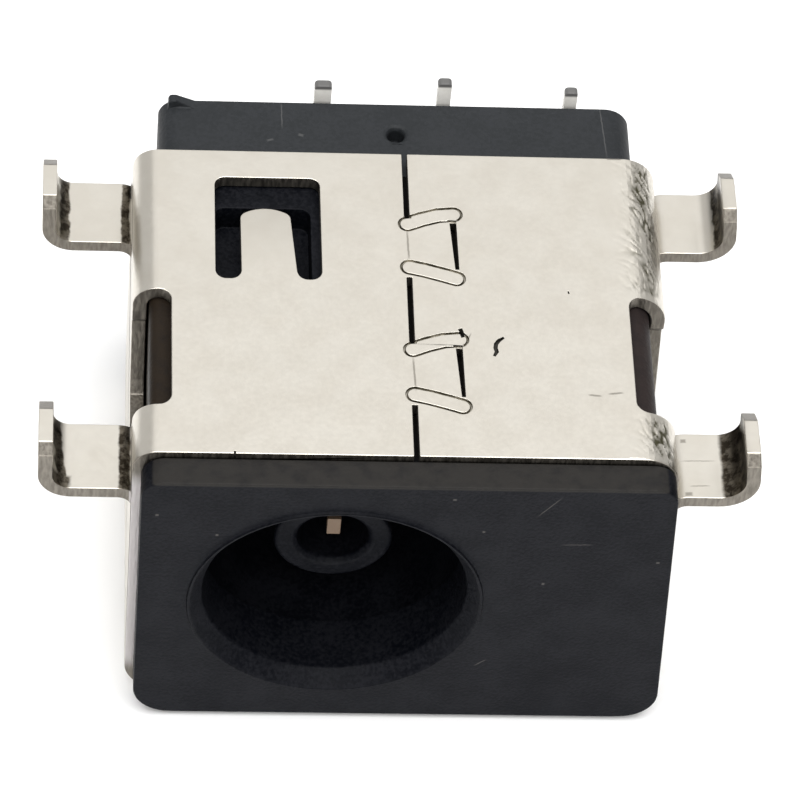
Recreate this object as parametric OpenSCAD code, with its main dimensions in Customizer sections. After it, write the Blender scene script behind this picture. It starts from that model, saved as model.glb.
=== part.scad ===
// DC barrel jack for a laptop board: a moulded socket in a folded sheet shield
// with four soldering legs. The bore's mouth is at the origin, the plug goes in
// along +Y, and the legs and pins point up, towards the solder side.

/* [Plug socket] */
// Diameter of the hole that the plug goes into
bore_d = 6.2; // [6.0:0.05:6.4]
// Depth of the hole, from the front face to its floor
bore_depth = 9.0; // [8.4:0.1:9.2]
// Length of the close guide land at the mouth, from the front face
guide_len = 1.75; // [1.5:0.05:2.2]
// How much wider in radius the bore is behind the guide land
guide_relief = 0.18; // [0.17:0.01:0.25]
// Width in radius of the lead-in chamfer
lead_w = 0.31; // [0.2:0.01:0.35]
// Depth of the lead-in chamfer behind the front face
lead_depth = 0.34; // [0.2:0.01:0.5]
// Width of the thin collar round the mouth
collar_w = 0.06; // [0.04:0.01:0.12]
// How far the collar stands proud of the front face
collar_h = 0.07; // [0.04:0.01:0.12]

/* [Centre post] */
// Outside diameter of the post, for a 3.0 mm plug hole
post_d = 2.81; // [2.7:0.01:2.9]
// How far the post's tip sits behind the front face
post_setback = 1.83; // [1.6:0.01:2.3]
// Diameter of the hole in the post
post_hole_d = 1.7; // [1.5:0.05:1.8]
// Depth of the hole in the post, from its tip
post_hole_depth = 6.2; // [5:0.1:6.5]
// Chamfer at the mouth of the post's hole
post_hole_chamfer = 0.12; // [0.05:0.01:0.15]
// Chamfer round the post's tip
post_tip_chamfer = 0.06; // [0.03:0.01:0.12]

/* [Front plate] */
// Width of the front plate
plate_w = 12.45; // [12.3:0.05:12.5]
// Height of the front plate
plate_h = 8.94; // [8.8:0.02:9.0]
// Thickness of the front plate
plate_t = 0.75; // [0.5:0.05:1]
// Bore axis from the plate's left edge
plate_left = 4.62; // [4.58:0.01:4.7]
// Bore axis from the plate's lower edge
plate_below = 4.51; // [4.45:0.01:4.6]
// Radius of the plate's upper corners
plate_top_r = 0.55; // [0.2:0.05:0.6]
// Radius of the plate's lower corners
plate_low_r = 0.88; // [0.4:0.02:1]
// How much further out the plate's right side stands at its foot than at its top
plate_flare = 0.4; // [0:0.02:0.44]

/* [Shield] */
// Thickness of the sheet
sheet_t = 0.34; // [0.3:0.01:0.36]
// Outside width of the shield
shield_w = 12.57; // [12.5:0.01:12.8]
// Outside height of the shield
shield_h = 9.24; // [9.2:0.01:9.4]
// Length of the shield's upper and lower panels
shield_len = 9.2; // [9.1:0.05:9.5]
// How much further back the side walls reach than the panels
side_extra = 0.14; // [0.1:0.01:0.3]
// Bore axis from the shield's left side
shield_left = 4.83; // [4.8:0.01:4.9]
// Bore axis from the shield's underside
shield_below = 4.66; // [4.64:0.01:4.7]
// Outer radius of the upper left fold
fold_left_r = 0.6; // [0.5:0.05:0.8]
// Outer radius of the upper right fold
fold_right_r = 0.9; // [0.7:0.05:1]
// Outer radius of the two lower folds
fold_low_r = 0.95; // [0.7:0.05:1.1]
// Height above the board face where the side walls' longer part begins
fold_trim = 0.2; // [0.1:0.05:0.4]
// Clearance between the shield and what it wraps
wrap_gap = 0.05; // [0.03:0.01:0.1]

/* [Seam and interlocks] */
// Distance of the seam from the bore axis
seam_x = 1.64; // [1.5:0.02:1.8]
// Width of the open seam
seam_gap = 0.12; // [0.08:0.01:0.16]
// Depths of the two interlocking tabs' centres behind the front face
tab_at = [3.22, 7.06];
// Length of a tab, from the seam to its end
tab_len = 1.05; // [0.9:0.05:1.2]
// Width of a tab at its end
tab_end_w = 1.54; // [1.3:0.02:1.7]
// Width of the gap past a tab's end, at its rear corner
tab_gap_rear = 0.16; // [0.1:0.01:0.2]
// Width of the gap past a tab's end, at its front corner
tab_gap_front = 0.09; // [0.06:0.01:0.14]
// How much further out a tab's front corner reaches than its rear corner
tab_skew = 0.09; // [0:0.01:0.12]
// How far the gap runs on past the rear corner
tab_gap_over = 0.05; // [0.03:0.01:0.08]
// How far the gap stops short of the front corner
tab_gap_short = 0.09; // [0.05:0.01:0.15]
// Width of the staked band over each flank
stake_w = 0.46; // [0.3:0.02:0.5]
// How far the seam stays shut on either side of a tab's middle
seam_shut = 0.94; // [0.8:0.02:1]
// Depth of a staked band
stake_depth = 0.08; // [0.03:0.01:0.1]

/* [Retention tongues] */
// Left edge of the tongue's cut-out
latch_left = -2.9; // [-3:0.02:-2.7]
// Width of the tongue's cut-out
latch_w = 2.49; // [2.3:0.02:2.6]
// Rear edge of the tongue's cut-out
latch_rear = 9.13; // [9:0.02:9.2]
// Front end of the slots beside the tongue
latch_front = 6; // [5.6:0.02:6.2]
// Radius of the cut-out's corners and slot ends
latch_r = 0.25; // [0.15:0.01:0.28]
// Radius of the crown at the tongue's tip
tongue_crown_r = 0.9; // [0.8:0.05:1.2]
// Radius of the corners beside the crown
tongue_corner_r = 0.25; // [0.15:0.01:0.3]
// Width of the tongue behind its round tip
tongue_w = 1.2; // [1:0.02:1.3]
// How much wider the tongue is at its root
tongue_flare = 0.12; // [0:0.02:0.16]
// Width of the slot on the tongue's left
tongue_slot = 0.6; // [0.56:0.02:0.64]
// Depth of the tongue's tip behind the front face
tongue_tip = 8.36; // [7.6:0.02:8.4]
// Angle by which the tongue dips into the housing
tongue_dip = 6; // [3:0.5:8]
// Clearance between the tongue's tip and the pocket's rear wall
pocket_end_gap = 0.13; // [0.08:0.01:0.2]
// Width of the housing's ledge along the pocket's right side
pocket_ledge = 0.22; // [0.1:0.02:0.3]
// Depth of the pocket under the tongue
pocket_depth = 0.7; // [0.5:0.05:0.75]

/* [Side windows] */
// Front edge of the two windows
window_front = 2.2; // [2.1:0.05:2.6]
// Rear edge of the two windows
window_rear = 5.63; // [5.3:0.02:5.8]
// How far the left window reaches into the upper panel
window_left_in = 0.89; // [0.7:0.02:1]
// How far the right window reaches into the upper panel
window_right_in = 0.96; // [0.92:0.02:1.1]
// How far the left window reaches down the side wall
window_left_drop = 3.3; // [2.8:0.1:4]
// How far the right window reaches down the side wall
window_right_drop = 5.1; // [4.6:0.1:5.4]
// Height of the shoulder below which the windows clear the front legs
window_shoulder = 1.15; // [1.1:0.05:1.2]
// How much further back the windows reach at the shoulder
window_bulge = 0.22; // [0:0.02:0.3]
// Angle at which the windows' rear edge runs forwards towards the foot
window_rake = 16; // [0:1:20]
// Distance between the windows' lower part and the front legs
window_leg_gap = 0.1; // [0.05:0.01:0.2]
// Corner radius of the windows
window_r = 0.3; // [0.2:0.02:0.4]

/* [Soldering legs] */
// Height of the legs' upper face, where the board lies, above the bore axis
board_z = 3.17; // [3:0.01:3.25]
// How far the left legs reach out from the wall
leg_left_reach = 2.14; // [1.9:0.02:2.3]
// How far the right legs reach out from the wall
leg_right_reach = 1.9; // [1.7:0.02:2.1]
// Front edges of the front and rear pairs of legs
leg_at = [0.8, 8.22];
// Width of a leg
leg_w = 1.88; // [1.7:0.02:1.9]
// Height of a leg's tip above the board face
leg_tip_h = 1.4; // [1.2:0.02:1.5]
// Inner radius of the left legs' upward bend
leg_left_bend = 0.42; // [0.3:0.02:0.6]
// Inner radius of the right legs' upward bend
leg_right_bend = 0.54; // [0.3:0.02:0.6]
// Inner radius of the bend where a leg leaves the wall
leg_root_bend = 0.32; // [0.15:0.01:0.36]
// Lean of the right legs' tips towards the body
leg_lean = 5; // [0:0.5:6]
// Small chamfer at the front of a tip
tip_front_chamfer = 0.24; // [0.1:0.02:0.4]
// Length of the large chamfer at the rear of a tip
tip_rear_len = 0.68; // [0.5:0.02:0.8]
// Height of the large chamfer at the rear of a tip
tip_rear_h = 0.58; // [0.4:0.02:0.7]

/* [Rear cover] */
// Depth of the parting between housing and rear cover
cover_from = 9.6; // [9.5:0.05:9.7]
// Depth of the rear cover's back face
cover_to = 11.94; // [11.6:0.01:12]
// How much narrower than the shield's inside the cover is on its left
cover_left_gap = 0.27; // [0.1:0.01:0.35]
// How much narrower than the shield's inside the cover is on its right
cover_right_gap = 0.16; // [0.1:0.01:0.35]
// Radius of the cover's long edges
cover_r = 0.5; // [0.3:0.05:0.6]
// Radius of the cover's upper right edge
cover_right_r = 0.65; // [0.3:0.05:0.7]
// How far the blind hole lies to the left of the seam
dimple_left = 0.14; // [0:0.02:0.3]
// Diameter of the blind hole in the cover's upper face
dimple_d = 0.4; // [0.3:0.02:0.6]
// Depth of the blind hole
dimple_depth = 0.5; // [0.3:0.05:0.8]
// Countersink round the blind hole
dimple_rim = 0.09; // [0.05:0.01:0.12]
// Diameter of the two pegs that locate the cover
peg_d = 1.0; // [0.8:0.05:1.2]
// Length of the pegs
peg_len = 1.6; // [1:0.1:2]
// Distance of the pegs from the housing's upper and lower faces
peg_in = 1.2; // [1:0.05:1.6]
// How far the pegs stand to the right of the middle of the wall beside the bore
peg_right = 0.6; // [0.3:0.05:0.7]
// Height of the sprue stub on the cover
nub_h = 0.2; // [0.1:0.01:0.3]
// Length of the sprue stub's flat top
nub_top_w = 0.19; // [0.15:0.01:0.3]
// Length of the sprue stub's foot
nub_foot_w = 0.65; // [0.4:0.01:0.8]
// Depth of the sprue stub
nub_len = 0.25; // [0.15:0.01:0.4]
// Bevel along the sprue stub's left edge
nub_round = 0.06; // [0.02:0.01:0.08]
// Distance of the sprue stub from the cover's left side
nub_in = 0.23; // [0.1:0.01:0.4]

/* [Contacts] */
// Thickness of the contact strip
strip_t = 0.22; // [0.18:0.01:0.25]
// Clearance between a contact and its slot
strip_gap = 0.03; // [0.02:0.005:0.05]
// Height of the pin tips above the bore axis
pin_top = [4.7, 4.87, 4.64];
// Middles of the three pins, across the jack
pin_at = [-0.25, 2.69, 5.78];
// Widths of the three pins
pin_w = [0.42, 0.34, 0.32];
// Gap between the rear cover and the pins
pin_gap = 0.06; // [0.03:0.01:0.15]
// Width of the centre contact's front blade
blade_w = 0.33; // [0.25:0.01:0.4]
// Height of the centre contact's blade above the bore axis
blade_z = 0.5; // [0.4:0.01:0.52]
// Depth of the blade's tip behind the post's tip
blade_setback = 0.06; // [0.04:0.01:1]
// How far the lip at the blade's tip bends down
blade_lip = 0.36; // [0.2:0.02:0.4]
// Height of the sleeve contact's strip
sleeve_strip_h = 0.34; // [0.3:0.02:0.5]
// How far the sleeve contact bows out past the post
sleeve_bow = 0.12; // [0.08:0.01:0.2]
// Height of the barrel contact's strip
barrel_strip_h = 1.2; // [1:0.1:1.6]
// How far the barrel contact bows into the bore
barrel_bow = 0.5; // [0.3:0.05:0.6]
// Distance of the barrel contact's strip from the bore's wall
barrel_out = 0.85; // [0.7:0.05:1]
// Depth at which the barrel contact's strip starts
barrel_from = 3.2; // [3:0.1:3.4]
// Depth at which its bow begins
barrel_bow_from = 3.8; // [3.6:0.1:4]
// Length of the barrel contact's bow
barrel_bow_len = 4.6; // [4.2:0.1:4.8]
// Depth at which the sleeve contact's strip starts
sleeve_from = 3.4; // [3.2:0.1:3.6]
// Depth at which its bow begins
sleeve_bow_from = 4.2; // [4:0.1:4.4]
// Length of the sleeve contact's bow
sleeve_bow_len = 3; // [2.6:0.1:3.4]
// How deep the sleeve contact's strip lies in the post
sleeve_sink = 0.06; // [0.04:0.01:0.1]
// Radius of the pins' upper corners
pin_tip_r = 0.1; // [0.06:0.01:0.12]

/* [Hidden] */
$fn = 64;
eps = 0.01;
past = 1;

bore_r = bore_d / 2;
post_r = post_d / 2;
post_hole_r = post_hole_d / 2;
lead_r = bore_r + lead_w;
collar_r = lead_r + collar_w;

plate_right = plate_w - plate_left;
plate_above = plate_h - plate_below;

shield_right = shield_w - shield_left;
shield_above = shield_h - shield_below;
seat_gap = 0.03;
shield_front = plate_t + seat_gap;
panel_rear = shield_front + shield_len;
wall_rear = panel_rear + side_extra;

body_left = shield_left - sheet_t - wrap_gap;
body_right = shield_right - sheet_t - wrap_gap;
body_above = shield_above - sheet_t - wrap_gap;
body_below = shield_below - sheet_t - wrap_gap;
body_shrink = sheet_t + wrap_gap;

tongue_r = tongue_w / 2;
tongue_mid = latch_left + tongue_slot + tongue_r;
tongue_root = latch_front + latch_r;
tongue_hold = 0.15;

cover_left = shield_left - sheet_t - cover_left_gap;
cover_right = shield_right - sheet_t - cover_right_gap;
peg_r = peg_d / 2;
peg_x = (bore_r + body_right) / 2 + peg_right;
peg_z = body_above - peg_in;

pin_front = cover_to + pin_gap;
pin_back = pin_front + strip_t;
pin_reach = pin_w[0] / 2 - pin_at[0];
sleeve_inset = strip_t + sleeve_sink;
sleeve_x = post_r - sleeve_inset;
barrel_x = bore_r + barrel_out;
barrel_room = 0.15;

// The middle lines of the two staked bands, from the seam and a tab's middle
stake_rear_path = [[0.01, 0.71], [0.35, 0.86], [0.74, 0.99], [1.1, 1.03]];
stake_front_path = [[0.02, -0.63], [0.35, -0.71], [0.82, -0.86], [1.1, -0.96]];

// Radius of the arc that has this chord and this rise
function bow_radius(chord, rise) = (chord * chord / 4 + rise * rise) / (2 * rise);

// Stands a flat outline up and runs it along the depth of the jack
module along_y(from, to) {
    translate([0, to, 0])
        rotate([90, 0, 0])
            linear_extrude(to - from)
                children();
}

// Runs an outline drawn from above between two heights
module along_z(from, to) {
    translate([0, 0, from])
        linear_extrude(to - from)
            children();
}

// A round or tapered bar along the bore axis
module bar_y(r_from, r_to, from, to, x = 0, z = 0) {
    translate([x, from, z])
        rotate([-90, 0, 0])
            cylinder(h = to - from, r1 = r_from, r2 = r_to);
}

// A box between two corners
module block(low, high) {
    translate(low)
        cube(high - low);
}

// A rectangle with its own radius at each corner, whose right side may lean out at its foot
module round_rect(left, right, low, high, r_low_left, r_low_right, r_high_right, r_high_left, flare = 0) {
    right_low = right + flare * (1 / 2 - r_low_right / (high - low));
    right_high = right - flare * (1 / 2 - r_high_right / (high - low));
    polygon([
        [left + r_high_left, high],
        [left, high - r_high_left],
        [left, low + r_low_left],
        [left + r_low_left, low],
        [right_low - r_low_right, low],
        [right_low, low + r_low_right],
        [right_high, high - r_high_right],
        [right_high - r_high_right, high]
    ]);
    translate([left + r_low_left, low + r_low_left])
        circle(r_low_left);
    translate([right_low - r_low_right, low + r_low_right])
        circle(r_low_right);
    translate([right_high - r_high_right, high - r_high_right])
        circle(r_high_right);
    translate([left + r_high_left, high - r_high_left])
        circle(r_high_left);
}

// ---- shield ----

// The shield's outline as seen from the front, drawn in by a distance
module shield_outline(inset) {
    round_rect(
        inset - shield_left, shield_right - inset,
        inset - shield_below, shield_above - inset,
        fold_low_r - inset, fold_low_r - inset,
        fold_right_r - inset, fold_left_r - inset
    );
}

// The open stretches of the seam, between the tabs
module seam_outline() {
    ends = [
        shield_front - past,
        for (y = tab_at) each [y - seam_shut, y + seam_shut],
        panel_rear + past
    ];
    for (i = [0 : 2 : len(ends) - 2])
        translate([seam_x - seam_gap / 2, ends[i]])
            square([seam_gap, ends[i + 1] - ends[i]]);
}

// The gap past the end of one tab, wider at the rear
module tab_end_outline(y) {
    rear = y + tab_end_w / 2 + tab_gap_over;
    front = y - tab_end_w / 2 + tab_gap_short;
    polygon([
        [seam_x + tab_len - tab_skew / 2, rear],
        [seam_x + tab_len - tab_skew / 2 + tab_gap_rear, rear],
        [seam_x + tab_len + tab_skew / 2 + tab_gap_front, front],
        [seam_x + tab_len + tab_skew / 2, front]
    ]);
}

// A band of even width along a path, with round ends
module band_outline(path, width) {
    for (point = path)
        translate(point)
            circle(d = width);
    for (i = [0 : len(path) - 2]) {
        run = path[i + 1] - path[i];
        translate(path[i])
            rotate(atan2(run[1], run[0]))
                translate([0, -width / 2])
                    square([norm(run), width]);
    }
}

// The staked bands that close one tab's flanks
module stake_outline(y) {
    translate([seam_x, y]) {
        band_outline(stake_rear_path, stake_w);
        band_outline(stake_front_path, stake_w);
    }
}

// The slot round a tongue, as seen from above
module latch_outline() {
    difference() {
        round_rect(
            latch_left, latch_left + latch_w, latch_front, latch_rear,
            latch_r, latch_r, latch_r, latch_r
        );
        tongue_outline(latch_front - past, 0);
        // the round inner corners of the two slots
        translate([tongue_mid - tongue_r, latch_front])
            mirror([1, 0])
                corner_fill(latch_r);
        translate([tongue_mid + tongue_r + tongue_flare, latch_front])
            corner_fill(latch_r);
    }
}

// What a round inner corner leaves standing
module corner_fill(r) {
    difference() {
        translate([-eps, -eps])
            square(r + eps);
        translate([r, r])
            circle(r);
    }
}

// A tongue's outline from a given depth to its crowned tip, as seen from above
module tongue_outline(from, grow) {
    crown = tongue_tip - tongue_crown_r;
    corner_x = tongue_r - tongue_corner_r;
    spread = asin(corner_x / (tongue_crown_r - tongue_corner_r));
    far = tongue_crown_r + past;
    shoulder = crown + (tongue_crown_r - tongue_corner_r) * cos(spread);
    flare = tongue_flare * (shoulder - from) / (shoulder - latch_front);
    translate([tongue_mid, 0]) {
        polygon([
            [-tongue_r - grow, from],
            [-tongue_r - grow, shoulder],
            [tongue_r + grow, shoulder],
            [tongue_r + grow + flare, from]
        ]);
        for (side = [-1, 1])
            translate([side * corner_x, shoulder])
                circle(tongue_corner_r + grow);
        intersection() {
            translate([0, crown])
                circle(tongue_crown_r + grow);
            polygon([
                [0, crown],
                [-far * tan(spread), crown + far],
                [far * tan(spread), crown + far]
            ]);
        }
    }
}

// The tongue, bent down from the panel at its root
module tongue() {
    drop = (tongue_tip - tongue_root) * tan(tongue_dip);
    intersection() {
        along_z(shield_above - sheet_t - past, shield_above + past)
            tongue_outline(tongue_root - tongue_hold, 0);
        translate([tongue_mid - tongue_w, 0, 0])
            rotate([90, 0, 90])
                linear_extrude(2 * tongue_w)
                    polygon([
                        [tongue_root - tongue_hold, shield_above],
                        [tongue_root, shield_above],
                        [tongue_tip, shield_above - drop],
                        [tongue_tip, shield_above - drop - sheet_t],
                        [tongue_root, shield_above - sheet_t],
                        [tongue_root - tongue_hold, shield_above - sheet_t]
                    ]);
    }
}

// One window across an upper fold: side is 1 on the right and -1 on the left
module window(side, reach, drop) {
    edge = side > 0 ? shield_right : -shield_left;
    inner = edge - side * reach;
    outer = edge + side * past;
    wall_in = edge - side * (sheet_t + eps);
    // across the panel and round the fold
    along_z(shield_above - reach - eps, shield_above + past)
        round_rect(
            min(inner, outer), max(inner, outer), window_front, window_rear,
            window_r, window_r, window_r, window_r
        );
    // down the wall
    translate([min(wall_in, outer), 0, 0])
        rotate([90, 0, 90])
            linear_extrude(past + sheet_t + eps) {
                round_rect(
                    window_front, window_rear,
                    shield_above - window_shoulder - window_r, shield_above + past,
                    window_r, eps, window_r, window_r
                );
                window_foot_outline(drop);
            }
}

// The part of a window below its shoulder, as seen from the side, behind the front leg
module window_foot_outline(drop) {
    front = leg_at[0] + leg_w + window_leg_gap;
    rear = window_rear + window_bulge;
    foot = shield_above - drop;
    shoulder = shield_above - window_shoulder;
    rear_foot = rear - (drop - window_shoulder - 2 * window_r) * tan(window_rake);
    polygon([
        [front, shoulder],
        [front, foot + window_r],
        [front + window_r, foot],
        [rear_foot - window_r, foot],
        [rear_foot, foot + window_r],
        [rear, shoulder - window_r],
        [window_rear, shoulder]
    ]);
}

// A leg's bent strip as seen from the front, leaving the wall at x = 0 towards +x
module leg_outline(reach, bend, lean) {
    low = board_z - sheet_t;
    turn = reach - sheet_t - bend;
    // the bend out of the wall
    translate([leg_root_bend, low - leg_root_bend])
        intersection() {
            difference() {
                circle(leg_root_bend + sheet_t);
                circle(leg_root_bend);
            }
            translate([-leg_root_bend - sheet_t, 0])
                square([leg_root_bend + sheet_t, leg_root_bend + sheet_t]);
        }
    // the flat stretch under the board
    translate([leg_root_bend, low])
        square([turn - leg_root_bend, sheet_t]);
    // the upward bend and the tip
    translate([turn, board_z + bend]) {
        intersection() {
            difference() {
                circle(bend + sheet_t);
                circle(bend);
            }
            polygon([
                [0, 0], [0, -2 * bend - sheet_t - past],
                [3 * bend + past, -2 * bend - sheet_t - past],
                [3 * bend + past, (3 * bend + past) * tan(lean)]
            ]);
        }
        rotate(lean)
            translate([bend, 0])
                square([sheet_t, (leg_tip_h - bend) / cos(lean)]);
    }
}

// The shape that trims a leg's tip, as seen from the side, with its front edge at 0
module tip_outline() {
    high = board_z + leg_tip_h;
    polygon([
        [0, board_z - past],
        [0, high - tip_front_chamfer],
        [tip_front_chamfer, high],
        [leg_w - tip_rear_len, high],
        [leg_w, high - tip_rear_h],
        [leg_w, board_z - past]
    ]);
}

// One soldering leg, leaving the wall at x = 0 towards +x, with its front edge at y
module leg(y, reach, bend, lean) {
    intersection() {
        along_y(y, y + leg_w)
            leg_outline(reach, bend, lean);
        translate([-past, y, 0])
            rotate([90, 0, 90])
                linear_extrude(reach + 2 * past)
                    tip_outline();
    }
}

module shield() {
    color("#dcd6cb") {
        difference() {
            along_y(shield_front, wall_rear)
                difference() {
                    shield_outline(0);
                    shield_outline(sheet_t);
                }
            // the panels and the upper folds stop short of the side walls
            block(
                [-shield_left - past, panel_rear, board_z + fold_trim],
                [shield_right + past, wall_rear + past, shield_above + past]
            );
            block(
                [fold_low_r + side_extra - shield_left, panel_rear, -shield_below - past],
                [shield_right - fold_low_r - side_extra, wall_rear + past, shield_above + past]
            );
            along_z(shield_above - sheet_t - past / 2, shield_above + past) {
                seam_outline();
                for (y = tab_at)
                    tab_end_outline(y);
                latch_outline();
                tongue_outline(tongue_root, eps);
            }
            along_z(-shield_below - past, sheet_t + past / 2 - shield_below) {
                latch_outline();
                tongue_outline(tongue_root, eps);
            }
            for (y = tab_at)
                along_z(shield_above - stake_depth, shield_above + past)
                    stake_outline(y);
            window(-1, window_left_in, window_left_drop);
            window(1, window_right_in, window_right_drop);
        }
        tongue();
        translate([0, 0, shield_above - shield_below])
            mirror([0, 0, 1])
                tongue();
        for (y = leg_at) {
            translate([shield_right, 0, 0])
                leg(y, leg_right_reach, leg_right_bend, leg_lean);
            translate([-shield_left, 0, 0])
                mirror([1, 0, 0])
                    leg(y, leg_left_reach, leg_left_bend, 0);
        }
    }
}

// ---- housing ----

// The outline of what fills the shield, as seen from the front
module body_outline() {
    round_rect(
        -body_left, body_right, -body_below, body_above,
        fold_low_r - body_shrink, fold_low_r - body_shrink,
        fold_right_r - body_shrink, fold_left_r - body_shrink
    );
}

// The hollow that the plug goes into
module plug_hollow() {
    bar_y(lead_r, bore_r, -collar_h, lead_depth);
    bar_y(lead_r, lead_r, -collar_h - past, -collar_h);
    bar_y(bore_r, bore_r, 0, guide_len);
    bar_y(bore_r + guide_relief, bore_r + guide_relief, guide_len, bore_depth);
}

// The post in the middle of the hollow
module post() {
    tip_end = post_setback + post_tip_chamfer;
    bar_y(post_r - post_tip_chamfer, post_r, post_setback, tip_end);
    bar_y(post_r, post_r, tip_end, bore_depth + eps);
}

// The pocket that one tongue dips into
module tongue_pocket() {
    translate([0, 0, body_above - pocket_depth])
        linear_extrude(pocket_depth + past)
            round_rect(
                latch_left, latch_left + latch_w - pocket_ledge, latch_front, tongue_tip + pocket_end_gap,
                latch_r, latch_r, latch_r, latch_r
            );
}

// The places of the two locating pegs
module at_pegs() {
    for (side = [-1, 1])
        translate([peg_x, 0, side * peg_z])
            children();
}

module housing() {
    color("#2f3134")
        difference() {
            union() {
                difference() {
                    union() {
                        along_y(0, plate_t)
                            round_rect(
                                -plate_left, plate_right, -plate_below, plate_above,
                                plate_low_r, plate_low_r, plate_top_r, plate_top_r, plate_flare
                            );
                        along_y(plate_t, cover_from)
                            body_outline();
                        bar_y(collar_r, collar_r, -collar_h, plate_t);
                    }
                    plug_hollow();
                }
                post();
            }
            // the hole in the post
            bar_y(post_hole_r, post_hole_r, post_setback - past, post_setback + post_hole_depth);
            bar_y(
                post_hole_r + post_hole_chamfer, post_hole_r,
                post_setback, post_setback + post_hole_chamfer
            );
            centre_slot();
            sleeve_slot();
            barrel_slot();
            tongue_pocket();
            mirror([0, 0, 1])
                translate([0, 0, body_below - body_above])
                    tongue_pocket();
            at_pegs()
                bar_y(
                    peg_r + strip_gap, peg_r + strip_gap,
                    cover_from - peg_len - strip_gap, cover_from + past
                );
        }
}

// ---- rear cover ----

module rear_cover() {
    dimple_x = seam_x - dimple_left;
    dimple_y = (panel_rear + cover_to) / 2;
    color("#3a3e42")
        difference() {
            union() {
                along_y(cover_from, cover_to)
                    round_rect(
                        -cover_left, cover_right, -body_below, body_above,
                        cover_r, cover_r, cover_right_r, cover_r
                    );
                at_pegs()
                    bar_y(peg_r, peg_r, cover_from - peg_len, cover_from + eps);
                moulding_nub();
            }
            translate([dimple_x, dimple_y, body_above - dimple_depth])
                cylinder(h = dimple_depth + past, d = dimple_d);
            translate([dimple_x, dimple_y, body_above - dimple_rim])
                cylinder(h = dimple_rim, d1 = dimple_d, d2 = dimple_d + 2 * dimple_rim);
            centre_slot();
            sleeve_slot();
            barrel_slot();
        }
}

// The sprue stub that the mould leaves at the cover's upper rear edge
module moulding_nub() {
    nub_left = nub_in - cover_left;
    along_y(cover_to - nub_len, cover_to)
        polygon([
            [nub_left, body_above - cover_r],
            [nub_left, body_above + nub_h - nub_round],
            [nub_left + nub_round, body_above + nub_h],
            [nub_left + nub_top_w, body_above + nub_h],
            [nub_left + nub_foot_w, body_above],
            [nub_left + nub_foot_w, body_above - cover_r]
        ]);
}

// ---- contacts ----

// The way of the centre contact through the post's floor and the cover
module centre_slot() {
    block(
        [-pin_reach - strip_gap, post_setback + post_hole_depth - past, blade_z - strip_gap],
        [blade_w / 2 + strip_gap, cover_to + past, blade_z + strip_t + strip_gap]
    );
}

// The groove in the post and the way through the floor for the sleeve contact
module sleeve_slot() {
    block(
        [sleeve_x - strip_gap, sleeve_from, -sleeve_strip_h / 2 - strip_gap],
        [sleeve_x + strip_t + strip_gap, cover_to + past, sleeve_strip_h / 2 + strip_gap]
    );
    block(
        [sleeve_x - strip_gap, sleeve_from, -sleeve_strip_h / 2 - strip_gap],
        [post_r + past / 2, bore_depth, sleeve_strip_h / 2 + strip_gap]
    );
}

// The chamber beside the bore for the barrel contact
module barrel_slot() {
    block(
        [bore_r - past, barrel_from, -barrel_strip_h / 2 - barrel_room],
        [barrel_x + strip_t + barrel_room, bore_depth, barrel_strip_h / 2 + barrel_room]
    );
    block(
        [barrel_x - strip_gap, bore_depth - eps, -barrel_strip_h / 2 - strip_gap],
        [barrel_x + strip_t + strip_gap, cover_to + past, barrel_strip_h / 2 + strip_gap]
    );
}

// An arched strip as seen from above: it bulges towards +x by rise over a length along y
module bow_outline(from, length, rise) {
    r = bow_radius(length, rise);
    intersection() {
        translate([rise - r, from + length / 2])
            difference() {
                circle(r, $fn = 128);
                circle(r - strip_t, $fn = 128);
            }
        translate([-strip_t, from])
            square([rise + 2 * strip_t, length]);
    }
}

// A pin that stands behind the cover, from a height up to its tip
module pin(i, from) {
    x0 = pin_at[i] - pin_w[i] / 2;
    x1 = pin_at[i] + pin_w[i] / 2;
    along_y(pin_front, pin_back)
        round_rect(x0, x1, from, pin_top[i], eps, eps, pin_tip_r, pin_tip_r);
}

module centre_contact() {
    color("#c9a468") {
        // blade in the post's hole
        block(
            [-blade_w / 2, post_setback + blade_setback, blade_z],
            [blade_w / 2, pin_back, blade_z + strip_t]
        );
        // lip that rests on the plug's centre pin
        block(
            [-blade_w / 2, post_setback + blade_setback, blade_z - blade_lip],
            [blade_w / 2, post_setback + blade_setback + strip_t, blade_z + strip_t]
        );
        // foot in the cover, wide enough to carry the pin
        block(
            [-pin_reach, bore_depth, blade_z],
            [blade_w / 2, pin_back, blade_z + strip_t]
        );
        pin(0, blade_z);
    }
}

module sleeve_contact() {
    half = sleeve_strip_h / 2;
    rise = sleeve_bow + sleeve_inset - strip_t;
    color("#cfc9bd") {
        block([sleeve_x, sleeve_from + strip_gap, -half], [sleeve_x + strip_t, sleeve_bow_from, half]);
        along_z(-half, half)
            translate([sleeve_x + strip_t, 0])
                bow_outline(sleeve_bow_from - eps, sleeve_bow_len + 2 * eps, rise);
        block(
            [sleeve_x, sleeve_bow_from + sleeve_bow_len, -half],
            [sleeve_x + strip_t, pin_back, half]
        );
        block([sleeve_x, pin_front, -half], [pin_at[1] + pin_w[1] / 2, pin_back, half]);
        pin(1, -half);
    }
}

module barrel_contact() {
    half = barrel_strip_h / 2;
    rise = barrel_x - bore_r + barrel_bow;
    color("#cfc9bd") {
        block([barrel_x, barrel_from + strip_gap, -half], [barrel_x + strip_t, barrel_bow_from, half]);
        along_z(-half, half)
            translate([barrel_x, 0])
                mirror([1, 0])
                    bow_outline(barrel_bow_from - eps, barrel_bow_len + 2 * eps, rise);
        block(
            [barrel_x, barrel_bow_from + barrel_bow_len, -half],
            [barrel_x + strip_t, pin_back, half]
        );
        block([barrel_x, pin_front, -half], [pin_at[2] + pin_w[2] / 2, pin_back, half]);
        pin(2, -half);
    }
}

shield();
housing();
rear_cover();
barrel_contact();
sleeve_contact();
centre_contact();
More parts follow.
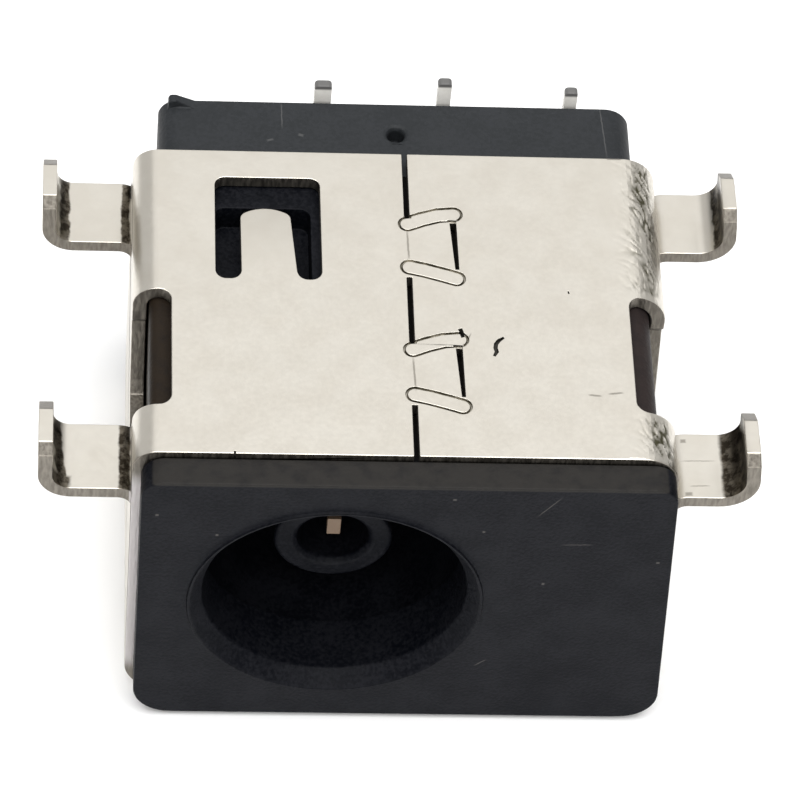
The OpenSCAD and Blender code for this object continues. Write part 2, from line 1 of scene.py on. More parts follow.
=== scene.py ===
import math

import bmesh
import bpy
from mathutils import Euler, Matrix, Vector, noise


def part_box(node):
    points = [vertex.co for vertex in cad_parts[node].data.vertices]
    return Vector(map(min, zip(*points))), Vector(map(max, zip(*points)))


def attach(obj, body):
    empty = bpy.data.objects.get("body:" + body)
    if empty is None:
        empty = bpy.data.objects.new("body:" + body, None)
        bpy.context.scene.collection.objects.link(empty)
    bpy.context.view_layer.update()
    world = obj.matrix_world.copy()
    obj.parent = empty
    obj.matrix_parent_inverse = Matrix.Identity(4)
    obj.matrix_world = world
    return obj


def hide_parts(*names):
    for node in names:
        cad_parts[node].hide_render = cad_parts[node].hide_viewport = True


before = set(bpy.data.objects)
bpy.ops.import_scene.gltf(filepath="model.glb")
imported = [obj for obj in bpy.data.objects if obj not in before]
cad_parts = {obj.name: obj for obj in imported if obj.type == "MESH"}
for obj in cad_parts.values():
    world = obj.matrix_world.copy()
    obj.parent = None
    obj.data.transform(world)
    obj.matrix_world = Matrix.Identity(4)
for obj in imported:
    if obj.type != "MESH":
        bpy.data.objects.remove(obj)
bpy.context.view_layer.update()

# ---- sizes, in metres ----

MM = 0.001

WELD = 0.0001 * MM
SHEET_ROUNDING = 0.03 * MM
MOULD_ROUNDING = 0.05 * MM
shield_low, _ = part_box("shield")
FLOOR_Z = shield_low.z

# ---- places on the shield, in millimetres ----

WALL_LEFT = -4.83
WALL_RIGHT = 7.74
PANEL_TOP = 4.58
WALL_SHEET = 0.35
FOLD_RADIUS = 0.9
STAKE_DEPTH = 0.08
STAKED_LENGTHS = (3.22, 7.06)
TRENCH_WIDTH = 0.045
TRENCH_SLOPE = 0.015
BAND_LIFT = 0.072

# ---- the shield's materials, by their place in its list ----

PLATED, SHEARED, TRENCH_SHADE, GROOVE_WALL = range(4)

# scratches, a pit and a nick in the upper sheet: path, width and depth, in millimetres
MARKS = [
    ([(3.76, 4.32), (3.66, 4.24), (3.59, 4.13), (3.575, 4.01), (3.6, 3.9), (3.55, 3.8)], 0.095, 0.11),
    ([(2.785, 4.53), (2.825, 4.38)], 0.16, 0.25),
    ([(5.365, 5.76), (5.373, 5.715)], 0.05, 0.05),
    ([(-2.508, 0.6), (-2.508, 0.83)], 0.07, 0.3),
]


# ---- working on a mesh ----

def lone(piece):
    """Leaves only this piece selected and active."""
    bpy.ops.object.select_all(action="DESELECT")
    piece.select_set(True)
    bpy.context.view_layer.objects.active = piece


def node_copy(node, name):
    """A welded copy of a CAD node, with its flat faces made whole."""
    piece = bpy.data.objects.new(name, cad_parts[node].data.copy())
    bpy.context.scene.collection.objects.link(piece)
    piece.data.materials.clear()
    lone(piece)
    bpy.ops.object.mode_set(mode="EDIT")
    bpy.ops.mesh.select_all(action="SELECT")
    bpy.ops.mesh.customdata_custom_splitnormals_clear()
    bpy.ops.mesh.remove_doubles(threshold=WELD)
    bpy.ops.mesh.dissolve_limited(angle_limit=math.radians(0.3))
    bpy.ops.object.mode_set(mode="OBJECT")
    return piece


def soft_edges(piece, width, fine_at=None, fine_share=0.35, sharp=30, segments=2):
    """Rounds every sharp edge a little, as a stamped or moulded one is. Edges in fine places get less."""
    mesh = bmesh.new()
    mesh.from_mesh(piece.data)
    weight = mesh.edges.layers.float.new("bevel_weight_edge")
    for edge in mesh.edges:
        if len(edge.link_faces) == 2 and edge.calc_face_angle() > math.radians(sharp):
            middle = (edge.verts[0].co + edge.verts[1].co) / 2 / MM
            edge[weight] = fine_share if fine_at and fine_at(middle) else 1
    mesh.to_mesh(piece.data)
    mesh.free()
    bevel = piece.modifiers.new("edges", "BEVEL")
    bevel.width = width
    bevel.segments = segments
    bevel.limit_method = "WEIGHT"
    bevel.use_clamp_overlap = False
    lone(piece)
    bpy.ops.object.modifier_apply(modifier=bevel.name)


def smooth_shade(piece, smooth_to=40):
    """Shades a piece so that flat faces look flat, and bends and rounded edges run smoothly into them."""
    lone(piece)
    bpy.ops.object.shade_smooth()
    mesh = piece.data
    around = [[] for _ in mesh.vertices]
    for face in mesh.polygons:
        for corner in face.vertices:
            around[corner].append(face)
    limit = math.cos(math.radians(smooth_to))
    normals = []
    for face in mesh.polygons:
        for corner in face.vertices:
            total = Vector((0, 0, 0))
            for other in around[corner]:
                if other.normal.dot(face.normal) > limit:
                    total += other.normal * (other.area / MM / MM) ** 2
            normals.append(total.normalized() if total.length > 0 else face.normal.copy())
    mesh.normals_split_custom_set(normals)


def cut_groove(piece, path, width, depth):
    """Cuts a narrow groove, with narrower ends, along a path in the upper sheet. Its walls get the near-black
    groove finish.
    """
    points = [Vector((x, y, 0)) * MM for x, y in path]
    left, right = [], []
    for i, point in enumerate(points):
        before, after = points[max(i - 1, 0)], points[min(i + 1, len(points) - 1)]
        along = (after - before).normalized()
        side = Vector((-along.y, along.x, 0)) * width * MM / 2
        reach = along * width * MM / 3 * ((i == len(points) - 1) - (i == 0))
        share = 0.6 if reach.length else 1
        left.append(point + side * share + reach)
        right.append(point - side * share + reach)
    low, high = (PANEL_TOP - depth) * MM, (PANEL_TOP + 0.2) * MM
    cutter = bpy.data.objects.new("cutter", bpy.data.meshes.new("cutter"))
    bpy.context.scene.collection.objects.link(cutter)
    mesh = bmesh.new()
    rows = [[mesh.verts.new((p.x, p.y, z)) for p in left + right[::-1]] for z in (low, high)]
    count = len(rows[0])
    mesh.faces.new(rows[0][::-1])
    mesh.faces.new(rows[1])
    for i in range(count):
        j = (i + 1) % count
        mesh.faces.new((rows[0][i], rows[0][j], rows[1][j], rows[1][i]))
    bmesh.ops.recalc_face_normals(mesh, faces=mesh.faces)
    mesh.to_mesh(cutter.data)
    mesh.free()
    for slot in piece.data.materials:
        cutter.data.materials.append(slot)
    for face in cutter.data.polygons:
        face.material_index = GROOVE_WALL
    lone(piece)
    cut = piece.modifiers.new("groove", "BOOLEAN")
    cut.operation = "DIFFERENCE"
    cut.solver = "EXACT"
    cut.object = cutter
    bpy.ops.object.modifier_apply(modifier=cut.name)
    bpy.data.objects.remove(cutter)


def close_slit(piece):
    """Closes the hair-thin slit beside the tongue's right root, in the upper and the lower panel."""
    mesh = bmesh.new()
    mesh.from_mesh(piece.data)
    levels = {}
    for vertex in mesh.verts:
        spot = vertex.co / MM
        if -1.0 < spot.x < -0.972 and 6.16 < spot.y < 6.26:
            levels.setdefault(round(spot.z, 2), []).append(vertex)
    for level, group in levels.items():
        bmesh.ops.pointmerge(mesh, verts=group, merge_co=Vector((-0.985, 6.23, level)) * MM)
    bmesh.ops.dissolve_degenerate(mesh, edges=mesh.edges, dist=0.0005 * MM)
    mesh.to_mesh(piece.data)
    mesh.free()


def raise_bands(piece):
    """Leaves a trench round each staked band by lifting its middle again."""
    lone(piece)
    bpy.ops.object.mode_set(mode="EDIT")
    bpy.ops.mesh.select_mode(type="FACE")
    bpy.ops.mesh.select_all(action="DESELECT")
    mesh = bmesh.from_edit_mesh(piece.data)
    floor = (PANEL_TOP - STAKE_DEPTH) * MM
    for face in mesh.faces:
        middle = face.calc_center_median()
        face.select = face.normal.z > 0.9 and abs(middle.z - floor) < 0.01 * MM and staked(middle / MM)
    bmesh.update_edit_mesh(piece.data)
    for width in (TRENCH_WIDTH, TRENCH_SLOPE):
        bpy.ops.mesh.inset(thickness=width * MM, depth=0, use_even_offset=False)
    bpy.ops.transform.translate(value=(0, 0, BAND_LIFT * MM))
    bpy.ops.object.mode_set(mode="OBJECT")
    # The trench's floor and slopes get the painted trench shade.
    for face in piece.data.polygons:
        middle = face.center / MM
        sloping = abs(middle.z - PANEL_TOP + STAKE_DEPTH / 2) < STAKE_DEPTH / 2 - 0.001
        sunk = (sloping or face.normal.z > 0.9) and middle.z < PANEL_TOP - 0.01
        if sunk and staked(middle):
            face.material_index = TRENCH_SHADE


def crinkle(piece, low, high, depth):
    """Wrinkles the outside of the upper right fold between two depths, as its bending left it, and stores how
    much painted shade each valley gets.
    """
    axis_x, axis_z = WALL_RIGHT - FOLD_RADIUS, PANEL_TOP - FOLD_RADIUS
    mesh = bmesh.new()
    mesh.from_mesh(piece.data)
    crease_shade = mesh.verts.layers.float.get("crease_shade") or mesh.verts.layers.float.new("crease_shade")

    def arm_of(spot):
        return Vector((max(spot.x - axis_x, 0), 0, max(spot.z - axis_z, 0)))

    def in_zone(spot, margin=0.0):
        outside = arm_of(spot).length > FOLD_RADIUS - 0.02
        on_fold = spot.x > axis_x - 0.36 and spot.z > axis_z + 0.05
        return on_fold and outside and low - margin < spot.y < high + margin

    def slice_by(point, normal, whole=False):
        faces = [f for f in mesh.faces if f.normal.z > 0.05 and f.normal.x > -0.01
                 and (in_zone(f.calc_center_median() / MM, 0.3)
                      or whole and f.normal.z > 0.99 and any(in_zone(v.co / MM, 0.3) for v in f.verts))]
        edges = {e for f in faces for e in f.edges}
        verts = {v for f in faces for v in f.verts}
        bmesh.ops.bisect_plane(mesh, geom=[*faces, *edges, *verts], dist=0.001 * MM,
                               plane_co=Vector(point) * MM, plane_no=normal)

    for step in range(8, 0, -1):
        slice_by((axis_x - 0.35 * step / 8, 0, 0), (1, 0, 0), step == 8)
    for step in range(0, 30):
        turn = math.radians(90 * step / 30)
        slice_by((axis_x, 0, axis_z), (math.cos(turn), 0, -math.sin(turn)))
    count = int((high - low) / 0.04)
    for step in range(count + 1):
        slice_by((0, low + (high - low) * step / count, 0), (0, 1, 0))
    mesh.normal_update()
    moves = []
    for vertex in mesh.verts:
        spot = vertex.co / MM
        if not in_zone(spot) or vertex.normal.z < 0.03 or vertex.normal.x < -0.01:
            continue
        arm = arm_of(spot)
        turn = math.atan2(arm.x, arm.z)
        around = turn * FOLD_RADIUS if arm.x > 0 else spot.x - axis_x
        sway = noise.noise(Vector((around * 1.3, spot.y * 1.3, 1.5))) * 0.25
        along = around * 0.5 - spot.y * 0.87
        across = around * 0.87 + spot.y * 0.5 + sway
        vein = math.exp(-(noise.noise(Vector((along / 0.5, across / 0.15, 3.7))) / 0.17) ** 2)
        fine = math.exp(-(noise.noise(Vector((along / 0.3, across / 0.1, 8.2))) / 0.2) ** 2)
        patch = 0.5 + noise.noise(Vector((around * 1.5, spot.y * 0.9, 6.1)))
        middle = math.exp(-((around - 0.5) / 0.33) ** 2)
        ends = max(0.0, min(1.0, (spot.y - low) / 0.2, (high - spot.y) / 0.2, (around + 0.32) / 0.25))
        crease_strength = min(1.0, (0.75 * vein + 0.55 * fine) * min(1.0, patch + 0.4)) * ends
        # How much painted shade this valley gets, for the plated finish.
        vertex[crease_shade] = crease_strength * (0.25 + 0.75 * middle) * min(1.0, max(0.0, (1.0 - around) / 0.2))
        moves.append((vertex, -arm.normalized() * MM * depth * crease_strength * (0.35 + 0.65 * middle)))
    for vertex, move in moves:
        vertex.co += move
    mesh.to_mesh(piece.data)
    mesh.free()


# ---- finishes ----

def finish_of(name):
    """A new material's node tree and Principled shader."""
    material = bpy.data.materials.new(name)
    material.use_nodes = True
    tree = material.node_tree
    return material, tree, tree.nodes["Principled BSDF"]


def put(tree, kind, settings=None, inputs=None):
    """Adds a node, sets its options, and fills or links its inputs."""
    made = tree.nodes.new(kind)
    for key, value in (settings or {}).items():
        setattr(made, key, value)
    for key, value in (inputs or {}).items():
        feed(tree, made.inputs[key], value)
    return made


def feed(tree, socket, value):
    if isinstance(value, bpy.types.NodeSocket):
        tree.links.new(value, socket)
    else:
        socket.default_value = value


def in_mm(tree):
    """The place on the piece, in millimetres."""
    spot = put(tree, "ShaderNodeTexCoord")
    scale = {0: spot.outputs["Object"], "Scale": 1 / MM}
    return put(tree, "ShaderNodeVectorMath", {"operation": "SCALE"}, scale).outputs[0]


def grain(tree, spot, size, detail=3.0, rough=0.55):
    """Soft noise whose lumps are about this many millimetres wide, from 0 to 1."""
    made = put(tree, "ShaderNodeTexNoise", None,
               {"Vector": spot, "Scale": 1 / size, "Detail": detail, "Roughness": rough})
    return made.outputs["Fac"]


def calc(tree, operation, a, b=0.0):
    return put(tree, "ShaderNodeMath", {"operation": operation}, {0: a, 1: b}).outputs[0]


def ramp(tree, value, low, high, out_low=0.0, out_high=1.0):
    """A smooth step between two values."""
    made = put(tree, "ShaderNodeMapRange", {"interpolation_type": "SMOOTHSTEP"},
               {0: value, 1: low, 2: high, 3: out_low, 4: out_high})
    return made.outputs[0]


def blend(tree, amount, first, second):
    made = put(tree, "ShaderNodeMix", {"data_type": "RGBA"}, {0: amount, 6: first, 7: second})
    return made.outputs[2]


def wander(tree, spot, size, reach):
    """The place, pushed about by noise, so that what follows it gets ragged edges."""
    noisy = put(tree, "ShaderNodeTexNoise", None, {"Vector": spot, "Scale": 1 / size, "Detail": 3.0})
    centred = put(tree, "ShaderNodeVectorMath", {"operation": "SUBTRACT"},
                  {0: noisy.outputs["Color"], 1: (0.5, 0.5, 0.5)}).outputs[0]
    pushed = put(tree, "ShaderNodeVectorMath", {"operation": "SCALE"},
                 {0: centred, "Scale": 2 * reach}).outputs[0]
    return put(tree, "ShaderNodeVectorMath", {"operation": "ADD"}, {0: spot, 1: pushed}).outputs[0]


def zone(tree, spot, middle, half, soft=0.2, turn=0.0, side_turn=0.0):
    """1 inside a box round a middle, 0 outside, with a soft border. In millimetres and degrees."""
    local = put(tree, "ShaderNodeMapping", {"vector_type": "TEXTURE"},
                {"Vector": spot, "Location": middle, "Scale": half,
                 "Rotation": (0, math.radians(side_turn), math.radians(turn))}).outputs[0]
    size = put(tree, "ShaderNodeVectorMath", {"operation": "ABSOLUTE"}, {0: local}).outputs[0]
    axes = put(tree, "ShaderNodeSeparateXYZ", None, {0: size})
    widest = calc(tree, "MAXIMUM", calc(tree, "MAXIMUM", axes.outputs[0], axes.outputs[1]), axes.outputs[2])
    return ramp(tree, widest, 1 - soft, 1 + soft, 1, 0)


def any_of(tree, masks):
    """The strongest of several masks."""
    total = masks[0]
    for mask in masks[1:]:
        total = calc(tree, "MAXIMUM", total, mask)
    return total


def bump(tree, shader, height):
    """Raises the surface by a height in millimetres."""
    made = put(tree, "ShaderNodeBump", None, {"Strength": 1.0, "Distance": MM, "Height": height})
    tree.links.new(made.outputs[0], shader.inputs["Normal"])


def plated_sheet():
    """Nickel plating on rolled sheet: faintly mottled, with painted shade in the legs' tight bends and dark
    olive painted shade in the crinkle valleys.
    """
    material, tree, shader = finish_of("plated_sheet")
    spot = in_mm(tree)
    ragged = wander(tree, spot, 0.3, 0.07)
    # Painted shade: darker, mottled patches at the bends of the legs, where the bends fall into shade.
    bends = [
        ((-6.46, 0.9, 3.45), (0.22, 0.25, 0.5), 0),
        ((-6.48, 1.6, 3.45), (0.11, 1.0, 0.5), 6),
        ((-6.44, 9.16, 3.45), (0.12, 1.0, 0.5), 0),
        ((-4.98, 1.74, 3.1), (0.13, 1.1, 0.5), 0),
        ((-4.98, 9.16, 3.1), (0.1, 1.1, 0.5), 0),
        ((9.1, 1.6, 3.5), (0.25, 1.3, 0.8), 0),
        ((9.25, 9.16, 3.5), (0.1, 1.1, 0.8), 0),
    ]
    bend_shade = any_of(tree, [zone(tree, ragged, middle, half, 0.25, turn) for middle, half, turn in bends])
    lines = [
        ((8.32, 1.883, 3.17), (0.33, 0.012, 0.2), 1),
        ((8.313, 1.148, 3.17), (0.2, 0.012, 0.2), 2),
        ((8.867, 1.394, 3.17), (0.035, 0.04, 0.2), 0),
        ((8.008, 2.468, 3.17), (0.06, 0.05, 0.2), 0),
        ((8.04, 0.909, 3.17), (0.08, 0.05, 0.2), 0),
        ((5.82, 2.646, PANEL_TOP), (0.13, 0.025, 0.1), -6),
        ((6.31, 2.718, PANEL_TOP), (0.15, 0.025, 0.1), 7),
        ((2.95, 4.25, PANEL_TOP), (0.015, 0.18, 0.1), -20),
        ((1.64, 7.11, PANEL_TOP), (0.022, 0.4, 0.1), 1),
        ((1.66, 3.2, PANEL_TOP), (0.022, 0.42, 0.1), 2),
    ]
    scuffs = any_of(tree, [zone(tree, wander(tree, spot, 0.1, 0.012), middle, half, 0.4, turn)
                           for middle, half, turn in lines])
    crease_shade = put(tree, "ShaderNodeAttribute", {"attribute_name": "crease_shade"}).outputs["Fac"]
    mottle = grain(tree, spot, 0.9, 4.0)
    fine = grain(tree, spot, 0.12, 2.0)
    warm = (0.625, 0.59, 0.525, 1)
    pale = (0.66, 0.628, 0.565, 1)
    plating = blend(tree, ramp(tree, mottle, 0.3, 0.7), warm, pale)
    plating = blend(tree, calc(tree, "MULTIPLY", scuffs, 0.55), plating, (0.1, 0.085, 0.065, 1))
    # Painted shade: dark olive in the valleys of the crinkled folds.
    plating = blend(tree, ramp(tree, crease_shade, 0.1, 0.9), plating, (0.095, 0.088, 0.05, 1))
    # Painted shade for the legs' bends: near-black to dark brown, mottled.
    bend_shade_mottle = ramp(tree, grain(tree, spot, 0.22, 4.0, 0.65), 0.4, 0.62)
    bend_shade_colour = blend(tree, bend_shade_mottle, (0.035, 0.028, 0.02, 1), (0.16, 0.14, 0.11, 1))
    tree.links.new(blend(tree, bend_shade, plating, bend_shade_colour), shader.inputs["Base Color"])
    shader.inputs["Metallic"].default_value = 1
    rough = ramp(tree, fine, 0.25, 0.75, 0.3, 0.38)
    tree.links.new(rough, shader.inputs["Roughness"])
    wavy = calc(tree, "MULTIPLY", grain(tree, spot, 2.2, 2.0), 0.02)
    tiny = calc(tree, "MULTIPLY", fine, 0.0012)
    bump(tree, shader, calc(tree, "ADD", wavy, tiny))
    return material


def sheared_steel():
    """The cut edges of the sheet, where the plating is thin, with a painted highlight and painted shade on
    the left wall's cut faces.
    """
    material, tree, shader = finish_of("sheared_steel")
    spot = in_mm(tree)
    streaks = put(tree, "ShaderNodeMapping", None, {"Vector": spot, "Scale": (14, 14, 3)}).outputs[0]
    torn = grain(tree, streaks, 1.0, 4.0, 0.5)
    colour = blend(tree, ramp(tree, torn, 0.3, 0.7), (0.14, 0.127, 0.108, 1), (0.235, 0.215, 0.185, 1))
    # Painted highlight: lighter strips on the left wall's front cut edge and on the inner part of the left
    # window's cut face.
    painted_highlight = any_of(tree, [zone(tree, spot, (WALL_LEFT + 0.2, 0.5, 0), (0.24, 0.6, 3.6), 0.1),
                             zone(tree, spot, (WALL_LEFT + 0.27, 4.6, 3.3), (0.07, 0.85, 0.4), 0.3)])
    # Painted shade: darker outer part of the left window's cut faces.
    painted_shade = any_of(tree, [zone(tree, spot, (WALL_LEFT + 0.05, 4.2, 3.3), (0.15, 1.4, 0.4), 0.3),
                          zone(tree, spot, (WALL_LEFT + 0.2, 2.9, 3.3), (0.3, 0.75, 0.4), 0.2)])
    colour = blend(tree, painted_shade, colour, (0.045, 0.04, 0.035, 1))
    colour = blend(tree, painted_highlight, colour, (0.5, 0.475, 0.47, 1))
    tree.links.new(colour, shader.inputs["Base Color"])
    shader.inputs["Metallic"].default_value = 1
    tree.links.new(ramp(tree, torn, 0.2, 0.8, 0.35, 0.5), shader.inputs["Roughness"])
    bump(tree, shader, calc(tree, "MULTIPLY", torn, 0.008))
    return material


def moulded_black(name, dark, light, roughness, specular):
    """Black moulding compound with a fine spark-eroded grain."""
    material, tree, shader = finish_of(name)
    spot = in_mm(tree)
    cloud = grain(tree, spot, 1.1, 4.0)
    fine = grain(tree, spot, 0.09, 2.0)
    pitted = calc(tree, "ADD", calc(tree, "MULTIPLY", cloud, 0.4), calc(tree, "MULTIPLY", fine, 0.6))
    colour = blend(tree, ramp(tree, pitted, 0.38, 0.62), (*dark, 1), (*light, 1))
    tree.links.new(colour, shader.inputs["Base Color"])
    tree.links.new(ramp(tree, fine, 0.2, 0.8, roughness - 0.05, roughness + 0.07), shader.inputs["Roughness"])
    shader.inputs["Specular IOR Level"].default_value = specular
    bump(tree, shader, calc(tree, "MULTIPLY", fine, 0.012))
    return material, tree, shader, spot, colour


def housing_black():
    """The socket's black: a painted brownish reflection on the front plate's top, lighter brown where it
    shows in the windows, painted shade under the seam, and a few specks and scratches on its front.
    """
    made = moulded_black("housing_black", (0.0018, 0.0023, 0.004), (0.0075, 0.008, 0.0105), 0.5, 0.08)
    material, tree, shader, spot, colour = made
    cloud = grain(tree, spot, 0.35, 4.0)
    tint_patches = [
        # Painted reflection: the front plate's top, made lighter and browner.
        ((1.4, 0.3, 4.97), (7.0, 0.62, 0.63), (0.0225, 0.021, 0.0195, 1)),
        # Lighter brown where the housing shows in the left and right windows.
        ((-5.3, 3.9, 3.0), (1.45, 2.2, 2.2), (0.017, 0.012, 0.008, 1)),
        ((8.2, 3.9, 3.0), (1.5, 2.2, 2.2), (0.024, 0.018, 0.017, 1)),
        # Painted shade: darker on the housing under the seam.
        ((2.1, 6.5, 5.0), (1.4, 5.6, 1.2), (0.0025, 0.002, 0.001, 1)),
    ]
    for middle, half, tint in tint_patches:
        patchy = ramp(tree, cloud, 0.2, 0.6, 0.6, 1)
        amount = calc(tree, "MULTIPLY", zone(tree, spot, middle, half, 0.04), patchy)
        colour = blend(tree, amount, colour, tint)
    specks = [
        ((-4.241, 0, 3.25), (0.035, 0.1, 0.035), 0),
        ((-2.847, 0, 2.531), (0.03, 0.1, 0.03), 0),
        ((2.518, 0, 3.983), (0.04, 0.1, 0.03), 0),
        ((3.277, 0, 2.797), (0.03, 0.1, 0.03), 0),
        ((4.816, 0, 0.833), (0.03, 0.1, 0.035), 0),
        ((7.418, 0, 1.712), (0.035, 0.1, 0.03), 0),
        ((3.594, 0, -2.326), (0.14, 0.1, 0.012), -43),
        ((5.48, 0, 2.357), (0.28, 0.1, 0.01), -2),
        ((4.712, 0, 3.757), (0.34, 0.1, 0.01), -55),
        ((1.44, 0, -2.272), (0.12, 0.4, 0.03), 0),
        ((-0.2, 0, -2.676), (0.7, 0.4, 0.022), -5),
    ]
    marks = any_of(tree, [zone(tree, wander(tree, spot, 0.12, 0.015), middle, half, 0.5, side_turn=turn)
                          for middle, half, turn in specks])
    tree.links.new(blend(tree, calc(tree, "MULTIPLY", marks, 0.7), colour, (0.09, 0.085, 0.08, 1)),
                   shader.inputs["Base Color"])
    return material


def cover_black():
    """The rear block's black, a shade lighter, with a scratch and two scuffs on its top."""
    made = moulded_black("cover_black", (0.016, 0.018, 0.02), (0.022, 0.024, 0.027), 0.55, 0.2)
    material, tree, shader, spot, colour = made
    scuffs = [
        ((-1.25, 11.5, 4.19), (0.015, 0.33, 0.1), 0),
        ((-1.54, 10.69, 4.19), (0.07, 0.03, 0.1), 20),
        ((-0.79, 10.87, 4.19), (0.06, 0.035, 0.1), -15),
        ((6.54, 11.2, 4.19), (0.015, 0.7, 0.1), 3),
    ]
    marks = any_of(tree, [zone(tree, wander(tree, spot, 0.12, 0.02), middle, half, 0.5, turn)
                          for middle, half, turn in scuffs])
    tree.links.new(blend(tree, calc(tree, "MULTIPLY", marks, 0.5), colour, (0.1, 0.1, 0.1, 1)),
                   shader.inputs["Base Color"])
    return material


def tinned_strip(name, cap_z, gilt=False):
    """Tinned strip with a dull sheared end, gilt at its touching tip where asked."""
    material, tree, shader = finish_of(name)
    spot = in_mm(tree)
    axes = put(tree, "ShaderNodeSeparateXYZ", None, {0: spot})
    cloud = grain(tree, spot, 0.25, 3.0)
    tin = blend(tree, ramp(tree, cloud, 0.3, 0.7), (0.78, 0.76, 0.71, 1), (0.86, 0.84, 0.79, 1))
    if gilt:
        tin = blend(tree, ramp(tree, axes.outputs[1], 6.0, 8.0, 1, 0), tin, (0.17, 0.115, 0.075, 1))
    end = ramp(tree, axes.outputs[2], cap_z - 0.16, cap_z - 0.08)
    tree.links.new(blend(tree, end, tin, (0.12, 0.118, 0.115, 1)), shader.inputs["Base Color"])
    shader.inputs["Metallic"].default_value = 0.2
    tree.links.new(ramp(tree, cloud, 0.2, 0.8, 0.42, 0.5), shader.inputs["Roughness"])
    bump(tree, shader, calc(tree, "MULTIPLY", cloud, 0.004))
    return material


def trench_shade():
    """Plating in the trenches round the staked bands, darkened in patches: painted shade."""
    material, tree, shader = finish_of("trench_shade")
    spot = in_mm(tree)
    patchy_shade = ramp(tree, grain(tree, spot, 0.3, 3.0), 0.35, 0.65)
    colour = blend(tree, patchy_shade, (0.16, 0.145, 0.11, 1), (0.42, 0.395, 0.34, 1))
    tree.links.new(colour, shader.inputs["Base Color"])
    shader.inputs["Metallic"].default_value = 1
    tree.links.new(ramp(tree, patchy_shade, 0, 1, 0.5, 0.38), shader.inputs["Roughness"])
    return material


def groove_wall_finish():
    """The near-black walls of the deepest scratches, the pit and the nick."""
    material, tree, shader = finish_of("groove_wall_black")
    spot = in_mm(tree)
    cloud = grain(tree, spot, 0.05, 3.0)
    colour = blend(tree, cloud, (0.006, 0.005, 0.003, 1), (0.03, 0.026, 0.018, 1))
    tree.links.new(colour, shader.inputs["Base Color"])
    tree.links.new(ramp(tree, cloud, 0.2, 0.8, 0.7, 0.95), shader.inputs["Roughness"])
    return material


# ---- pieces ----

def finish_piece(piece, node):
    smooth_shade(piece)
    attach(piece, "root")
    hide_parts(node)


def small_work(spot):
    """Whether a place, in millimetres, has work too fine for the usual rounding."""
    near_mark = any((Vector((x, y)) - spot.xy).length < 0.25 for path, _, _ in MARKS for x, y in path)
    return staked(spot) or (near_mark and spot.z > 4)


def staked(spot):
    """Whether a place, in millimetres, is in the stretch of the seam that is staked."""
    return 1.2 < spot.x < 3.4 and spot.z > 4 and any(abs(spot.y - y) < 1.4 for y in STAKED_LENGTHS)


def is_cut_face(face):
    """Whether a face of the shield is a sheared edge of its sheet."""
    spot = face.calc_center_median() / MM
    if abs(face.normal.y) > 0.3:
        return True
    in_panel = abs(spot.z) > PANEL_TOP - 0.5 and WALL_LEFT + 0.62 < spot.x < WALL_RIGHT - 0.92
    if in_panel and abs(face.normal.z) < 0.3:
        return True
    in_left_wall = WALL_LEFT - 0.01 < spot.x < WALL_LEFT + WALL_SHEET
    in_right_wall = WALL_RIGHT - WALL_SHEET < spot.x < WALL_RIGHT + 0.01
    in_wall = abs(spot.z) < PANEL_TOP - 1.1 and (in_left_wall or in_right_wall)
    return in_wall and abs(face.normal.z) > 0.5


def shield_piece():
    piece = node_copy("shield", "shield_sheet")
    close_slit(piece)
    for material in (plated_sheet(), sheared_steel(), trench_shade(), groove_wall_finish()):
        piece.data.materials.append(material)
    mesh = bmesh.new()
    mesh.from_mesh(piece.data)
    for face in mesh.faces:
        face.material_index = SHEARED if is_cut_face(face) else PLATED
    mesh.to_mesh(piece.data)
    mesh.free()
    raise_bands(piece)
    for path, width, depth in MARKS:
        cut_groove(piece, path, width, depth)
    soft_edges(piece, SHEET_ROUNDING, small_work)
    crinkle(piece, 5.72, 9.95, 0.028)
    crinkle(piece, 0.85, 2.15, 0.02)
    finish_piece(piece, "shield")


def plain_piece(node, name, material, rounding):
    """A piece of one material, with its sharp edges rounded."""
    piece = node_copy(node, name)
    piece.data.materials.append(material)
    soft_edges(piece, rounding)
    finish_piece(piece, node)


# ---- studio ----

def studio_floor():
    bpy.ops.object.select_all(action="DESELECT")
    bpy.ops.mesh.primitive_plane_add(size=160 * MM, location=(0, 0, FLOOR_Z))
    floor = bpy.context.object
    floor.name = "studio_floor"
    lone(floor)
    bpy.ops.object.transform_apply(location=True, rotation=True, scale=True)
    material, tree, shader = finish_of("white_card")
    shader.inputs["Base Color"].default_value = (0.92, 0.92, 0.92, 1)
    shader.inputs["Roughness"].default_value = 0.9
    floor.data.materials.append(material)


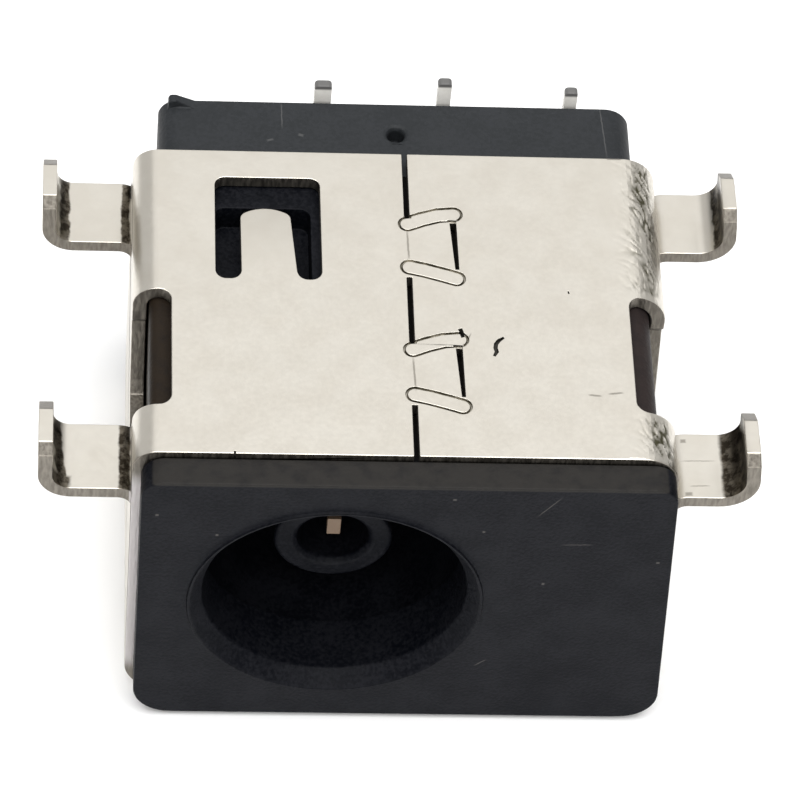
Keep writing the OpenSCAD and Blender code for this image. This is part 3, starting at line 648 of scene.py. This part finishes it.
def soft_box(name, at, aim, size, power):
    """A square area light that looks at a point. Places and sizes are in millimetres."""
    light = bpy.data.lights.new(name, "AREA")
    light.shape = "SQUARE"
    light.size = size * MM
    light.energy = power
    lamp = bpy.data.objects.new(name, light)
    lamp.location = Vector(at) * MM
    lamp.rotation_euler = (Vector(aim) - Vector(at)).to_track_quat("-Z", "Y").to_euler()
    bpy.context.scene.collection.objects.link(lamp)


def studio_light():
    world = bpy.data.worlds.new("studio")
    world.use_nodes = True
    sky = world.node_tree.nodes["Background"]
    sky.inputs["Color"].default_value = (1, 0.99, 0.97, 1)
    sky.inputs["Strength"].default_value = 0.3
    bpy.context.scene.world = world
    middle = (1, 5, 0)
    soft_box("back_soft_box", (20, 140, 172), middle, 200, 0.1)
    soft_box("left_soft_box", (-130, 130, 58), middle, 180, 0.042)
    soft_box("right_soft_box", (130, 130, 58), middle, 180, 0.028)
    soft_box("front_soft_box", (0, -190, 42), middle, 80, 0.17)
    soft_box("top_soft_box", (0, -55, 255), middle, 260, 1.05)
    bpy.context.scene.view_settings.view_transform = "Standard"


def camera():
    lens = bpy.data.cameras.new("camera")
    lens.lens = 219.68
    lens.sensor_width = 36
    lens.clip_start = 1 * MM
    lens.clip_end = 10
    eye = bpy.data.objects.new("camera", lens)
    eye.location = Vector((-6.7925, -67.7166, 91.689)) * MM
    eye.rotation_euler = Euler([math.radians(a) for a in (38.86358, -3.83739, -1.83462)])
    bpy.context.scene.collection.objects.link(eye)
    bpy.context.scene.camera = eye


camera()
studio_floor()
studio_light()

shield_piece()
plain_piece("housing", "socket_moulding", housing_black(), MOULD_ROUNDING)
plain_piece("rear_cover", "rear_block", cover_black(), MOULD_ROUNDING)
barrel_tin = tinned_strip("barrel_tin", 4.64)
plain_piece("barrel_contact", "barrel_leaf", barrel_tin, SHEET_ROUNDING)
sleeve_tin = tinned_strip("sleeve_tin", 4.87)
plain_piece("sleeve_contact", "sleeve_leaf", sleeve_tin, SHEET_ROUNDING)
centre_tin = tinned_strip("centre_tin", 4.70, gilt=True)
plain_piece("centre_contact", "centre_leaf", centre_tin, SHEET_ROUNDING)
